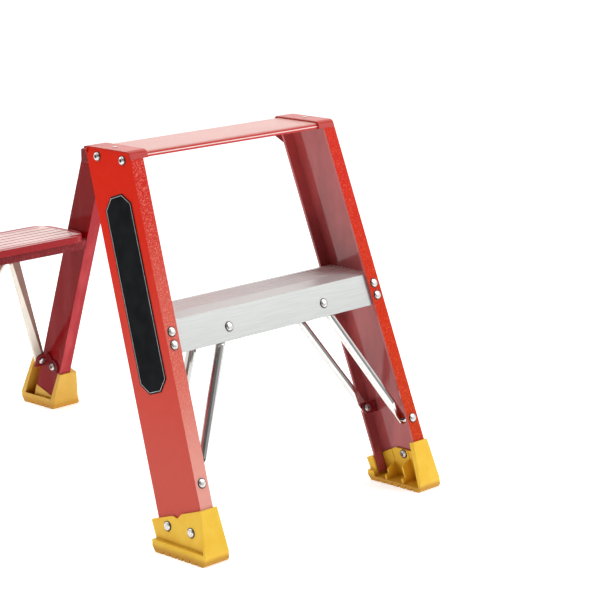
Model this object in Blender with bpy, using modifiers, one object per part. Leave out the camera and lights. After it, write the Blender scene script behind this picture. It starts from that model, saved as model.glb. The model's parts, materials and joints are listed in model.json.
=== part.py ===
"""Double-sided step ladder: a front frame with one step and a top tread, and a hinged rear frame with a
ribbed tread. Metres, +Z up, the front faces -Y, and the origin is under the middle of the ladder."""

import math

import bmesh
import bpy
from mathutils import Matrix, Vector

# Whole ladder
HEIGHT = 0.584
DEPTH = 0.901
GAP = 0.0003
EDGE = 0.0012

# Front frame: channel rails that lean back and draw together towards the top
FRONT_LEAN = math.radians(18.8)
FRONT_BASE_HALF = 0.2522
FRONT_TOP_HALF = 0.2173
FRONT_WEB = 0.0961
FRONT_FLANGE = 0.0246
FRONT_WALL = 0.0040
FRONT_RAIL_FOOT_END = 0.0450

# Top tread and its end caps
TREAD_SHEET = 0.0030
CAP_SHEET = 0.0030
CAP_WIDTH = 0.0340
CAP_LIP = 0.0120
CAP_CORNER = 0.0090

# Front step
STEP_HEIGHT = 0.3420
STEP_SKIRT = 0.0504
STEP_WALL = 0.0026
STEP_RIB_PITCH = 0.0080
STEP_RIB_RISE = 0.0012
STEP_RIB_WIDTH = 0.0030
STEP_RIB_COUNT = 6
STEP_RIB_SLOPE = 0.0005
STEP_RIB_REAR = 0.0131

# Rear frame: rectangular tube rails that lean forward, the left one a short post
REAR_LEAN = math.radians(-18.4)
REAR_INNER_HALF = 0.1350
REAR_TUBE_WIDTH = 0.0250
REAR_TUBE_DEPTH = 0.0530
REAR_TUBE_WALL = 0.0025
REAR_RAIL_FOOT_END = 0.0200
REAR_RIGHT_TOP = 0.4950
REAR_LEFT_TOP = 0.3700

# Rear tread
REAR_TREAD_HEIGHT = 0.3400
REAR_TREAD_FRONT = 0.0060
REAR_TREAD_DEPTH = 0.1300
REAR_TREAD_EDGE = 0.0120
REAR_TREAD_CORNER = 0.0360
REAR_TREAD_CREASE = 0.0026
REAR_TREAD_CREASES = 6
REAR_TREAD_BORDER = 0.0200
REAR_SKIRT_INSET = 0.0120
REAR_SKIRT_DROP = 0.0160
REAR_SKIRT_WALL = 0.0030

# Moulded feet
FOOT_WALL = 0.0032
FOOT_SKIN = 0.0016
FOOT_FLOOR = 0.0090
FOOT_RIM = 0.0170
GROOVE_DEPTH = 0.0034
GROOVE_WIDTH = 0.0036
GROOVE_PITCH = 0.0140
GROOVE_FIRST = 0.0150
FRONT_FOOT = {"outer": 0.2633, "width": 0.0510, "toe": 0.0046, "length": 0.1150, "top": 0.0830,
              "heel": 0.0140,
              "narrowing": 0.0120}
REAR_FOOT = {"outer": 0.1880, "width": 0.0610, "toe": -0.0127, "length": 0.0940, "top": 0.0700,
             "heel": 0.0260,
             "narrowing": 0.0160}

FRONT_FOOT_RIBS = (0.0370, 0.0700)
FRONT_FOOT_TRAY = 0.0155
FRONT_FOOT_RIM = 0.0040
FRONT_FOOT_RIB_GAP = 0.0010
FRONT_FOOT_PEAK = {"start": 0.0600, "depth": 0.0590, "height": 0.0790, "shoulder": 0.0740}
FRONT_FOOT_RIB_SLOPE = {"high": 0.0560, "reach": 0.2000, "low": -0.0120}
FRONT_FOOT_NOTCH = {"depths": (0.0400, 0.0515, 0.0630), "low": 0.0775, "high": 0.0835}
FRONT_FOOT_LEDGE = 0.0030
REAR_FOOT_BAYS = (0.0040, 0.0230, 0.0270)
REAR_FOOT_EDGE = 0.0030
FOOT_ROUND = 0.0008
WELL_OUT = 0.2000

# Braces and their brackets
BRACE_RADIUS = 0.0075
BRACE_FLAT = 0.0030
BRACE_FLAT_LENGTH = 0.0200
BRACE_TAPER = 0.0220
BRACE_FLAT_HALF = 0.0088
FRONT_BRACE_HIGH = (0.1000, 0.3450)
FRONT_BRACE_LOW = (0.2285, 0.1160)
REAR_SIDE_BRACE_LOW = (0.2185, 0.1460)
CLEVIS_BOLT_OFFSET = 0.0060
CLEVIS_SHEET = 0.0030
CLEVIS_RADIUS = 0.0095
SPACER_RADIUS = 0.0040
BRACE_BAR = (0.0200, 0.0060)
REAR_BRACE_END = (0.0140, -0.0420, 0.3050)
BRACKET_SHEET = 0.0030
BRACKET_DEPTH = 0.0376
BRACKET_BOLT = (0.1205, 0.0823)
BRACKET_RAIL_BOLT = (0.0182, 0.0765)
BRACKET_ROUND = 0.0125

# Fasteners
RIVET_RADIUS = 0.0066
RIVET_RISE = 0.0028
BOLT_RADIUS = 0.0062
BOLT_RISE = 0.0034
SOCKET_RADIUS = 0.0028
HEAD_STEPS = 16
FLANGE_RIVET_INSET = 0.0125
FLANGE_RIVETS = {"upper": 0.3475, "lower": 0.3276, "brace": 0.1222}
STEP_RIVET = (0.1032, 0.3336)
FOOT_RIVETS = {"front": (0.0272, 0.0539), "rear": (0.0762, 0.0690)}
FOOT_BOLT = (0.0455, 0.0660)
TOP_BOLT_DEPTHS = {"front": 0.0190, "rear": 0.0730}
TOP_BOLT_DROP = 0.0150

# Hinge behind the top tread, and the links to the rear frame
HINGE_TUBE_RADIUS = 0.0090
HINGE_TUBE_BORE = 0.0045
HINGE_FIT = 0.00008
HINGE_SETBACK = 0.0050
HINGE_DROP = 0.0240
HINGE_PLATE = 0.0040
HINGE_FACETS = 48
LINK_HEIGHT = 0.0160
LINK_WIDTH = 0.0120
LINK_START = 0.1700
LINK_HEAD = (0.0220, 0.0300, 0.0240)
LINK_HEAD_DEPTH = 0.0230
LINK_SPREAD = 0.0010

# Side label
LABEL_SIZE = (0.0600, 0.2980)
LABEL_CHAMFER = 0.0170
LABEL_CENTRE = (0.0476, 0.4130)
LABEL_SHEET = 0.0006

# Painted and moulded surfaces: colour, roughness, metallic
FINISHES = {
    "red_rail": ((0.62, 0.035, 0.02, 1), 0.35, 0.0),
    "red_sheet": ((0.58, 0.05, 0.04, 1), 0.30, 0.0),
    "dark_red": ((0.30, 0.02, 0.025, 1), 0.35, 0.0),
    "aluminium": ((0.74, 0.75, 0.76, 1), 0.35, 1.0),
    "galvanised": ((0.70, 0.70, 0.69, 1), 0.25, 1.0),
    "yellow_foot": ((0.85, 0.47, 0.03, 1), 0.45, 0.0),
    "label": ((0.03, 0.035, 0.04, 1), 0.40, 0.0),
}


def clear_scene():
    for item in list(bpy.data.objects):
        bpy.data.objects.remove(item, do_unlink=True)


def new_collection(name, hidden):
    group = bpy.data.collections.new(name)
    group.hide_render = hidden
    bpy.context.scene.collection.children.link(group)
    return group


def make_material(name, finish):
    colour, roughness, metallic = FINISHES[finish]
    material = bpy.data.materials.new(name)
    material.use_nodes = True
    shader = material.node_tree.nodes["Principled BSDF"]
    shader.inputs["Base Color"].default_value = colour
    shader.inputs["Roughness"].default_value = roughness
    shader.inputs["Metallic"].default_value = metallic
    return material


def add_object(name, mesh, group, parent=None):
    item = bpy.data.objects.new(name, mesh)
    group.objects.link(item)
    item.parent = parent
    return item


def add_part(name, mesh, finish, parent=None, smooth=False):
    """A visible piece of the ladder, with a material of its own."""
    if smooth:
        mesh.shade_smooth()
        mesh.set_sharp_from_angle(angle=math.radians(35))
    mesh.materials.clear()
    mesh.materials.append(make_material(name, finish))
    return add_object(name, mesh, PARTS, parent)


def add_cutter(name, mesh, parent=None):
    cutter = add_object(name, mesh, CUTTERS, parent)
    cutter.hide_render = True
    cutter.display_type = "WIRE"
    return cutter


def cut(item, cutter):
    modifier = item.modifiers.new("cut " + cutter.name, "BOOLEAN")
    modifier.operation = "DIFFERENCE"
    modifier.solver = "EXACT"
    modifier.object = cutter


def merge(item, other):
    modifier = item.modifiers.new("join " + other.name, "BOOLEAN")
    modifier.operation = "UNION"
    modifier.solver = "EXACT"
    modifier.object = other


def soften(item, width=EDGE, segments=2):
    modifier = item.modifiers.new("soft edges", "BEVEL")
    modifier.width = width
    modifier.segments = segments
    modifier.limit_method = "ANGLE"
    modifier.angle_limit = math.radians(40)


def add_frame(name, location, rotation=(0, 0, 0), parent=None):
    """An empty that holds the pieces of one frame or rail."""
    frame = add_object(name, None, PARTS, parent)
    frame.location = location
    frame.rotation_euler = rotation
    return frame


def outline_mesh(name, loops, low, high):
    """A flat outline in x and y, with any holes, drawn out from z = low to z = high."""
    curve = bpy.data.curves.new(name, "CURVE")
    curve.dimensions = "2D"
    curve.fill_mode = "BOTH"
    curve.extrude = (high - low) / 2
    for loop in loops:
        spline = curve.splines.new("POLY")
        spline.points.add(len(loop) - 1)
        for point, (x, y) in zip(spline.points, loop):
            point.co = (x, y, 0, 1)
        spline.use_cyclic_u = True
    guide = bpy.data.objects.new(name, curve)
    bpy.context.scene.collection.objects.link(guide)
    graph = bpy.context.evaluated_depsgraph_get()
    mesh = bpy.data.meshes.new_from_object(guide.evaluated_get(graph))
    bpy.data.objects.remove(guide, do_unlink=True)
    bpy.data.curves.remove(curve)
    mesh.transform(Matrix.Translation((0, 0, (low + high) / 2)))
    return tidy_mesh(mesh)


def tidy_mesh(mesh):
    work = bmesh.new()
    work.from_mesh(mesh)
    bmesh.ops.remove_doubles(work, verts=work.verts, dist=1e-6)
    bmesh.ops.recalc_face_normals(work, faces=work.faces)
    work.to_mesh(mesh)
    work.free()
    return mesh


def side_prism(name, loops, low, high):
    """An outline in depth (y) and height (z), drawn out along x."""
    mesh = outline_mesh(name, loops, low, high)
    mesh.transform(Matrix(((0, 0, 1, 0), (1, 0, 0, 0), (0, 1, 0, 0), (0, 0, 0, 1))))
    return mesh


def box_mesh(name, low, high):
    mesh = bpy.data.meshes.new(name)
    work = bmesh.new()
    bmesh.ops.create_cube(work, size=1)
    size = Vector(high) - Vector(low)
    middle = (Vector(high) + Vector(low)) / 2
    bmesh.ops.transform(work, verts=work.verts, matrix=Matrix.Translation(middle) @ Matrix.Diagonal((*size,
                                                                                                     1)))
    work.to_mesh(mesh)
    work.free()
    return mesh


def sided_box(name, side, inner, outer, y_range, z_range):
    """A box between two distances from the middle, on the given side."""
    xs = sorted((side * inner, side * outer))
    return box_mesh(name, (xs[0], y_range[0], z_range[0]), (xs[1], y_range[1], z_range[1]))


def arc(centre, radius, start, end, steps):
    angles = [math.radians(start + (end - start) * i / steps) for i in range(steps + 1)]
    return [(centre[0] + radius * math.cos(a), centre[1] + radius * math.sin(a)) for a in angles]


def turned_head(name, radius, rise, socket):
    """The half outline of a round head standing on z = 0, from the axis outwards."""
    shoulder = rise * 0.35
    angles = (0.9, 0.45) if socket else (1.25, 0.9, 0.45)
    dome = [(radius * math.cos(a), shoulder + (rise - shoulder) * math.sin(a)) for a in angles]
    if socket:
        start = [(0, shoulder), (socket * 0.9, shoulder), (socket, rise)]
    else:
        start = [(0, rise)]
    profile = start + dome + [(radius, shoulder), (radius, 0), (0, 0)]
    mesh = bpy.data.meshes.new(name)
    edges = [(i, i + 1) for i in range(len(profile) - 1)]
    mesh.from_pydata([(x, 0, z) for x, z in profile], edges, [])
    return mesh


def spin(item):
    modifier = item.modifiers.new("turn", "SCREW")
    modifier.axis = "Z"
    modifier.angle = math.tau
    modifier.steps = HEAD_STEPS
    modifier.render_steps = HEAD_STEPS
    modifier.use_merge_vertices = True
    modifier.merge_threshold = 1e-5


def add_head(name, parent, place, direction, kind):
    """A rivet or bolt head standing on a surface, pointing along direction in its parent's frame."""
    radius, rise, socket = {
        "rivet": (RIVET_RADIUS, RIVET_RISE, 0),
        "bolt": (BOLT_RADIUS, BOLT_RISE, SOCKET_RADIUS),
    }[kind]
    item = add_part(name, turned_head(name, radius, rise, socket), "galvanised", parent)
    spin(item)
    away = Vector(direction).normalized()
    item.location = Vector(place) + away * GAP
    item.rotation_euler = away.to_track_quat("Z", "X").to_euler()
    return item


class Frame:
    """A leaning frame. Its own axes are x along the width, y through the rails, z up the slope."""

    def __init__(self, name, origin_y, lean):
        self.lean = lean
        self.origin_y = origin_y
        self.empty = add_frame(name, (0, origin_y, 0), (-lean, 0, 0))

    def inward(self, y, z):
        """Depth and slope height of a point at a distance behind the origin and a height."""
        depth = y * math.cos(self.lean) - z * math.sin(self.lean)
        slope = y * math.sin(self.lean) + z * math.cos(self.lean)
        return depth, slope

    def level(self, z, depth):
        """The slope height at which a level plane crosses a depth."""
        return (z + depth * math.sin(self.lean)) / math.cos(self.lean)

    def world(self, depth, slope):
        y = slope * math.sin(self.lean) + depth * math.cos(self.lean)
        z = slope * math.cos(self.lean) - depth * math.sin(self.lean)
        return self.origin_y + y, z


def side_name(side):
    return "right" if side > 0 else "left"


# Places that follow from the driving dimensions
FRONT_LENGTH = HEIGHT / math.cos(FRONT_LEAN)
FRONT_SPLAY = math.atan((FRONT_BASE_HALF - FRONT_TOP_HALF) / FRONT_LENGTH)
FRONT_ORIGIN_Y = -DEPTH / 2 - FRONT_FOOT["toe"]
REAR_ORIGIN_Y = DEPTH / 2 - REAR_FOOT["toe"] - REAR_FOOT["length"]
HINGE_Z = HEIGHT - HINGE_DROP


def front_half(slope):
    """Half the width across the front rails' outer faces, at a height up the slope."""
    return FRONT_BASE_HALF - slope * math.tan(FRONT_SPLAY)


def rail_back(z):
    """Where the front rails' rear face is at a height, with the clearance for what stands on it."""
    return FRONT_ORIGIN_Y + z * math.tan(FRONT_LEAN) + FRONT_WEB / math.cos(FRONT_LEAN) + GAP


def channel_loop(side, grow=0.0):
    """The section of a front rail, from its outer corner: the web outside, two flanges pointing in."""
    web = FRONT_WEB + grow
    flange = FRONT_FLANGE + grow
    wall = FRONT_WALL + grow
    points = [(grow, -grow), (-flange, -grow), (-flange, wall), (-wall, wall), (-wall, FRONT_WEB - wall),
              (-flange, FRONT_WEB - wall), (-flange, web), (grow, web)]
    return [(side * x, y) for x, y in points]


def front_rail(frame, side):
    name = "front_rail_" + side_name(side)
    axis = add_frame(name + "_axis", (side * FRONT_BASE_HALF, 0, 0), (0, -side * FRONT_SPLAY, 0),
                     frame.empty)
    length = FRONT_LENGTH + FRONT_WEB
    rail = add_part(name, outline_mesh(name, [channel_loop(side)], FRONT_RAIL_FOOT_END, length), "red_rail",
                    axis)
    flange_face = FRONT_TOP_HALF - FRONT_WALL - GAP
    for label, inset, reach in (("cap", CAP_SHEET + GAP, 1),
                                ("tread", CAP_SHEET + TREAD_SHEET + 2 * GAP, flange_face)):
        arch = side_prism(name, [top_arch(inset)], -reach, reach)
        cut(rail, add_cutter(f"{name}_{label}_cut", arch))
    return axis


def cap_line(inset, z):
    """Where the front and rear rail faces are at a height, each set in by a thickness."""
    front = FRONT_ORIGIN_Y + z * math.tan(FRONT_LEAN)
    inset = inset / math.cos(FRONT_LEAN)
    return front + inset, front + FRONT_WEB / math.cos(FRONT_LEAN) - inset


def cap_profile(inset, low):
    """Down the front, over the top and down the back of the rails' ends, set in by a thickness."""
    centre_z = HEIGHT - CAP_CORNER
    front, rear = cap_line(CAP_CORNER, centre_z)
    r = CAP_CORNER - inset
    tilt = math.degrees(FRONT_LEAN)
    path = [(cap_line(inset, low)[0], low)] + arc((front, centre_z), r, 180 - tilt, 90, 6)
    return path + arc((rear, centre_z), r, 90, -tilt, 6) + [(cap_line(inset, low)[1], low)]


def top_arch(inset):
    """What is taken off a rail's end for the sheets folded over it."""
    low, high = HEIGHT - CAP_LIP - GAP, HEIGHT + 0.2
    path = cap_profile(inset, low)
    start, end = path[0][0] - 0.1, path[-1][0] + 0.1
    return path + [(end, low), (end, high), (start, high), (start, low)]


def foot_shell(frame, name, size, side, web):
    """The foot as a solid block: flat on the floor, cut square to the rail on top, and narrower there."""
    toe, heel = size["toe"], size["toe"] + size["length"]
    loop = [frame.inward(toe + 0.003, 0), frame.inward(heel - 0.010, 0), frame.inward(heel - 0.002, 0.008),
            frame.inward(heel, 0.018), (web + size["heel"], size["top"]), (-FOOT_WALL, size["top"]),
            frame.inward(toe, 0.016), frame.inward(toe, 0.004)]
    inner, outer = size["outer"] - size["width"], size["outer"]
    mesh = side_prism(name, [loop], min(side * inner, side * outer), max(side * inner, side * outer))
    full = frame.world(0, size["top"])[1]
    for vertex in mesh.vertices:
        share = frame.world(vertex.co.y, vertex.co.z)[1] / full
        outwards = abs(vertex.co.x) > (inner + outer) / 2
        vertex.co.x -= side * share * size["narrowing"] * (1 if outwards else -0.45)
    return mesh


def above(frame, height, start, end):
    """Everything above a level line between two depths, up to well outside the part."""
    return [(start, frame.level(height, start)), (end, frame.level(height, end)), (end, 2 * WELL_OUT),
            (start, 2 * WELL_OUT)]


def foot_grooves(frame, name, size, foot):
    """Thin slots across the sole."""
    count = int((size["length"] - GROOVE_FIRST - 0.012) / GROOVE_PITCH)
    for i in range(count):
        y = frame.origin_y + size["toe"] + GROOVE_FIRST + i * GROOVE_PITCH
        groove = box_mesh("groove", (-1, y, -0.001), (1, y + GROOVE_WIDTH, GROOVE_DEPTH))
        cut(foot, add_cutter(f"{name}_groove_{i}", groove))


def front_foot(frame, axis, side):
    """A boot round the rail's end: outer wall with a notch, inner wall, an open tray and two ribs."""
    name = "front_foot_" + side_name(side)
    foot = add_part(name, foot_shell(frame, name, FRONT_FOOT, side, FRONT_WEB), "yellow_foot", frame.empty)
    rail_slot = outline_mesh("slot", [channel_loop(side, 2 * GAP)], FRONT_RAIL_FOOT_END - GAP, 0.2)
    cut(foot, add_cutter(name + "_slot", rail_slot, axis))
    tray_wall = FRONT_WALL + 2 * GAP + FOOT_WALL
    start = FRONT_WALL + 2 * FOOT_SKIN
    shape = FRONT_FOOT_PEAK
    peak = [(start, shape["start"]), (shape["depth"], shape["height"]), (FRONT_WEB, shape["shoulder"]),
            (WELL_OUT, shape["shoulder"]), (WELL_OUT, WELL_OUT), (start, WELL_OUT)]
    wall_cut = side_prism("peak", [peak], *sorted((-side * FRONT_WALL, -side * WELL_OUT)))
    cut(foot, add_cutter(name + "_peak_cut", wall_cut, axis))
    edges = (FRONT_WALL, *FRONT_FOOT_RIBS, FRONT_WEB)
    for i, (start, end) in enumerate(zip(edges, edges[1:])):
        start, end = start + FOOT_SKIN, end - FOOT_SKIN
        pocket = side_prism("pocket", [above(frame, FOOT_FLOOR, start, end)],
                            *sorted((-side * tray_wall, -side * (FRONT_FLANGE + FRONT_FOOT_TRAY))))
        cut(foot, add_cutter(f"{name}_pocket_{i}", pocket, axis))
    rim = side_prism("rim", [above(frame, FOOT_RIM, edges[0] + FOOT_SKIN, WELL_OUT)],
                     *sorted((-side * (FRONT_FLANGE + FRONT_FOOT_RIM), -side * WELL_OUT)))
    cut(foot, add_cutter(name + "_rim_cut", rim, axis))
    crest = tray_wall + FRONT_FOOT_RIB_GAP
    shape = FRONT_FOOT_RIB_SLOPE
    slope = [(crest, shape["high"]), (shape["reach"], shape["low"]), (shape["reach"], WELL_OUT),
             (crest, WELL_OUT)]
    ribs = outline_mesh("rib_slope", [[(-side * x, z) for x, z in slope]], -edges[2] - FRONT_FOOT_RIM,
                        -edges[0] - 2 * FOOT_SKIN)
    ribs.transform(Matrix.Rotation(math.radians(90), 4, "X"))
    cut(foot, add_cutter(name + "_rib_cut", ribs, axis))
    first, middle, last = FRONT_FOOT_NOTCH["depths"]
    low, high = FRONT_FOOT_NOTCH["low"], FRONT_FOOT_NOTCH["high"]
    notch = [(first, high), (middle, low), (last, high), (last, WELL_OUT), (first, WELL_OUT)]
    notch_cut = side_prism("notch", [notch], *sorted((-side * FRONT_WALL / 2, side * WELL_OUT)))
    cut(foot, add_cutter(name + "_notch_cut", notch_cut, axis))
    cut(foot, add_cutter(name + "_ledge_cut", foot_ledge_cut(frame, side), axis))
    foot_grooves(frame, name, FRONT_FOOT, foot)
    soften(foot, FOOT_ROUND, 1)


def foot_ledge_cut(frame, side):
    """What is taken off the outer side above the sole, so that the outer wall stands back from the rim."""
    loop = above(frame, FOOT_RIM, FRONT_FOOT_LEDGE, WELL_OUT)
    return side_prism("ledge", [loop], *sorted((side * FOOT_WALL, side * WELL_OUT)))


def top_tread():
    """The flat top tread, with its front and rear edges turned down, inside the two end caps."""
    outer = CAP_SHEET + GAP
    low = HEIGHT - CAP_LIP
    loop = cap_profile(outer, low) + list(reversed(cap_profile(outer + TREAD_SHEET, low)))
    half = FRONT_TOP_HALF - FRONT_WALL - 3 * GAP - 0.004
    add_part("top_tread", side_prism("top_tread", [loop], -half, half), "red_sheet", smooth=True)


def top_cap(side):
    """A cap folded over the tread's end and the rail's end, with round corners and flush with the rail."""
    name = "top_cap_" + side_name(side)
    low = HEIGHT - CAP_LIP
    loop = cap_profile(0, low) + list(reversed(cap_profile(CAP_SHEET, low)))
    xs = sorted((side * (FRONT_TOP_HALF + 0.0005), side * (FRONT_TOP_HALF - CAP_WIDTH)))
    add_part(name, side_prism(name, [loop], *xs), "red_sheet", smooth=True)


def front_step(frame):
    """An extruded step: a level ribbed top, two skirts square to the rails, riveted behind the flanges."""
    depth_front = FRONT_WALL + GAP
    depth_rear = FRONT_WEB - FRONT_WALL - GAP

    def top_at(depth, down=0.0):
        return (depth, frame.level(STEP_HEIGHT, depth) - down)

    loop = [top_at(depth_front)]
    last = FRONT_WEB - STEP_RIB_REAR - STEP_RIB_WIDTH
    for i in reversed(range(STEP_RIB_COUNT)):
        start = last - i * STEP_RIB_PITCH
        end = start + STEP_RIB_WIDTH
        loop += [top_at(start), top_at(start + STEP_RIB_SLOPE, -STEP_RIB_RISE),
                 top_at(end - STEP_RIB_SLOPE, -STEP_RIB_RISE), top_at(end)]
    skirt = STEP_SKIRT
    loop += [top_at(depth_rear), top_at(depth_rear, skirt), top_at(depth_rear - STEP_WALL, skirt),
             top_at(depth_rear - STEP_WALL, STEP_WALL), top_at(depth_front + STEP_WALL, STEP_WALL),
             top_at(depth_front + STEP_WALL, skirt), top_at(depth_front, skirt)]
    half = front_half(frame.level(STEP_HEIGHT, depth_rear)) - FRONT_WALL - GAP
    step = add_part("front_step", side_prism("front_step", [loop], -half, half), "aluminium", frame.empty)
    soften(step, 0.0006, 1)


def brace_mesh(name, length):
    """A round tube pressed flat at both ends, along z from 0 to length."""
    mesh = bpy.data.meshes.new(name)
    work = bmesh.new()
    sides = 12
    half_flat = BRACE_FLAT / 2
    stations = [(0, BRACE_FLAT_HALF * 0.35, half_flat), (0.006, BRACE_FLAT_HALF, half_flat),
                (BRACE_FLAT_LENGTH, BRACE_FLAT_HALF, half_flat),
                (BRACE_FLAT_LENGTH + BRACE_TAPER, BRACE_RADIUS, BRACE_RADIUS)]
    stations += [(length - z, wide, thin) for z, wide, thin in reversed(stations)]
    angles = [2 * math.pi * k / sides for k in range(sides)]
    rings = [[work.verts.new((wide * math.cos(a), thin * math.sin(a), z)) for a in angles]
             for z, wide, thin in stations]
    for low, high in zip(rings, rings[1:]):
        for k in range(sides):
            work.faces.new((low[k], low[(k + 1) % sides], high[(k + 1) % sides], high[k]))
    work.faces.new(list(reversed(rings[0])))
    work.faces.new(rings[-1])
    work.to_mesh(mesh)
    work.free()
    return tidy_mesh(mesh)


def add_brace(name, parent, low, high, face, finish="galvanised"):
    """A brace between two points, its flat ends facing along face."""
    low, high = Vector(low), Vector(high)
    along = (high - low).normalized()
    out = (Vector(face) - along * along.dot(Vector(face))).normalized()
    across = out.cross(along)
    item = add_part(name, brace_mesh(name, (high - low).length), finish, parent, smooth=True)
    item.matrix_local = Matrix.Translation(low) @ Matrix((across, out, along)).transposed().to_4x4()
    return item


def front_braces(frame, axes):
    """Two braces a side, from between the step's skirts down to a spacer and a clevis in each rail."""
    skirt_front = FRONT_WALL + GAP + STEP_WALL
    skirt_rear = FRONT_WEB - skirt_front
    near = skirt_front + GAP + BRACE_RADIUS
    far = skirt_rear - GAP - BRACE_RADIUS
    for side, axis in axes.items():
        for place, depth, low in (("front", near, FRONT_BRACE_LOW), ("rear", far, REAR_SIDE_BRACE_LOW)):
            bottom = (side * low[0], depth, low[1])
            top = (side * FRONT_BRACE_HIGH[0], depth, FRONT_BRACE_HIGH[1])
            add_brace(f"front_brace_{place}_{side_name(side)}", frame.empty, bottom, top, (0, 1, 0))
        brace_spacer(axis, side, near)
        brace_clevis(frame, side, far)


def brace_spacer(axis, side, depth):
    """The short sleeve between a front flange and the end of its brace, under the lowest rivet."""
    name = "brace_spacer_" + side_name(side)
    centre = (-side * (FRONT_FLANGE - SPACER_RADIUS - FOOT_SKIN), FLANGE_RIVETS["brace"])
    mesh = outline_mesh(name, [arc(centre, SPACER_RADIUS, 0, 337.5, 15)], -depth + BRACE_FLAT / 2 + GAP,
                        -FRONT_WALL - GAP)
    mesh.transform(Matrix.Rotation(math.radians(90), 4, "X"))
    add_part(name, mesh, "galvanised", axis)


def brace_clevis(frame, side, depth):
    """A plate that stands in from a rail's web, in front of the rear brace's end, with its bolt."""
    name = "brace_clevis_" + side_name(side)
    bolt = (side * (REAR_SIDE_BRACE_LOW[0] - 0.0030), REAR_SIDE_BRACE_LOW[1] + CLEVIS_BOLT_OFFSET)
    slope = bolt[1]
    web = side * (front_half(slope + CLEVIS_RADIUS) - FRONT_WALL - 2 * GAP)
    ends = (90, 270) if side > 0 else (90, -90)
    loop = [(web, slope + CLEVIS_RADIUS)] + arc(bolt, CLEVIS_RADIUS, *ends,
                                                8) + [(web, slope - CLEVIS_RADIUS)]
    front = depth - BRACE_FLAT / 2 - GAP - CLEVIS_SHEET
    mesh = outline_mesh(name, [loop], -front - CLEVIS_SHEET, -front)
    mesh.transform(Matrix.Rotation(math.radians(90), 4, "X"))
    add_part(name, mesh, "dark_red", frame.empty)
    add_head("clevis_bolt_" + side_name(side), frame.empty, (bolt[0], front, slope), (0, -1, 0), "bolt")


def front_fasteners(frame, axes):
    for side, axis in axes.items():
        hand = side_name(side)
        for label, slope in FLANGE_RIVETS.items():
            add_head(f"rail_rivet_{label}_{hand}", axis, (-side * FLANGE_RIVET_INSET, 0, slope), (0, -1, 0),
                     "rivet")
        for label, depth in TOP_BOLT_DEPTHS.items():
            place = (0, depth, frame.level(HEIGHT, depth) - TOP_BOLT_DROP)
            add_head(f"top_bolt_{label}_{hand}", axis, place, (side, 0, 0), "bolt")
        for label, (depth, slope) in FOOT_RIVETS.items():
            add_head(f"foot_rivet_{label}_{hand}", axis, (side * FOOT_WALL, depth, slope), (side, 0, 0),
                     "rivet")
        inner_wall = FRONT_WALL + 2 * GAP + FOOT_WALL
        add_head("foot_bolt_" + hand, axis, (-side * inner_wall, *FOOT_BOLT), (-side, 0, 0), "bolt")
        place = (side * STEP_RIVET[0], FRONT_WALL + GAP, STEP_RIVET[1])
        add_head("step_rivet_" + hand, frame.empty, place, (0, -1, 0), "rivet")


def side_label(axis):
    """A plain plate with cut corners on the left rail's outer face."""
    half_width, half_length = (size / 2 for size in LABEL_SIZE)
    near, far = half_width - LABEL_CHAMFER, half_length - LABEL_CHAMFER
    loop = [(half_width, -far), (half_width, far), (near, half_length), (-near, half_length),
            (-half_width, far),
            (-half_width, -far), (-near, -half_length), (near, -half_length)]
    loop = [(LABEL_CENTRE[0] + y, LABEL_CENTRE[1] + z) for y, z in loop]
    mesh = side_prism("side_label", [loop], -LABEL_SHEET - GAP, -GAP)
    add_part("side_label", mesh, "label", axis)


def rear_rail(frame, side):
    """A rectangular tube, open at its foot, level and closed on top."""
    name = "rear_rail_" + side_name(side)
    inner, outer = REAR_INNER_HALF, REAR_INNER_HALF + REAR_TUBE_WIDTH
    wall, depth = REAR_TUBE_WALL, REAR_TUBE_DEPTH
    top = REAR_RIGHT_TOP if side > 0 else REAR_LEFT_TOP
    low, high = frame.level(0, 0) + REAR_RAIL_FOOT_END, frame.level(top, 0)
    loop = [(0, low), (depth, low), (depth, frame.level(top, depth)), (0, high)]
    rail = add_part(name, side_prism(name, [loop], *sorted((side * inner, side * outer))), "red_rail",
                    frame.empty)
    bore_top = frame.level(top, depth) - wall
    bore = sided_box("bore", side, inner + wall, outer - wall, (wall, depth - wall), (low - 0.01, bore_top))
    cut(rail, add_cutter(name + "_bore", bore, frame.empty))
    soften(rail, 0.0020, 2)


def rear_foot(frame, side):
    """A boot round the tube, with an open tray and one rib on the side that faces the middle."""
    name = "rear_foot_" + side_name(side)
    shell = foot_shell(frame, name, REAR_FOOT, side, REAR_TUBE_DEPTH)
    foot = add_part(name, shell, "yellow_foot", frame.empty)
    inner, outer = REAR_INNER_HALF - 2 * GAP, REAR_INNER_HALF + REAR_TUBE_WIDTH + 2 * GAP
    tube_low = REAR_RAIL_FOOT_END - GAP
    slot = sided_box("slot", side, inner, outer, (-2 * GAP, REAR_TUBE_DEPTH + 2 * GAP), (tube_low, 0.2))
    cut(foot, add_cutter(name + "_slot", slot, frame.empty))
    edge = REAR_FOOT["outer"] - REAR_FOOT["width"] + REAR_FOOT_EDGE
    first, rib_front, rib_rear = REAR_FOOT_BAYS
    last = REAR_TUBE_DEPTH + REAR_FOOT["heel"] - FOOT_WALL * 2
    for i, (start, end) in enumerate(((first, rib_front), (rib_rear, last))):
        pocket = side_prism("pocket", [above(frame, FOOT_FLOOR, start, end)],
                            *sorted((side * edge, side * (inner + GAP))))
        cut(foot, add_cutter(f"{name}_pocket_{i}", pocket, frame.empty))
    rim = side_prism("rim", [above(frame, FOOT_RIM, first, last)], *sorted((0, side * (inner + GAP))))
    cut(foot, add_cutter(name + "_rim_cut", rim, frame.empty))
    back = side_prism("back", [above(frame, FOOT_FLOOR, REAR_TUBE_DEPTH + 2 * GAP, last)],
                      *sorted((side * edge, side * (outer + GAP))))
    cut(foot, add_cutter(name + "_back_pocket", back, frame.empty))
    foot_grooves(frame, name, REAR_FOOT, foot)
    soften(foot, FOOT_ROUND, 1)


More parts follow.
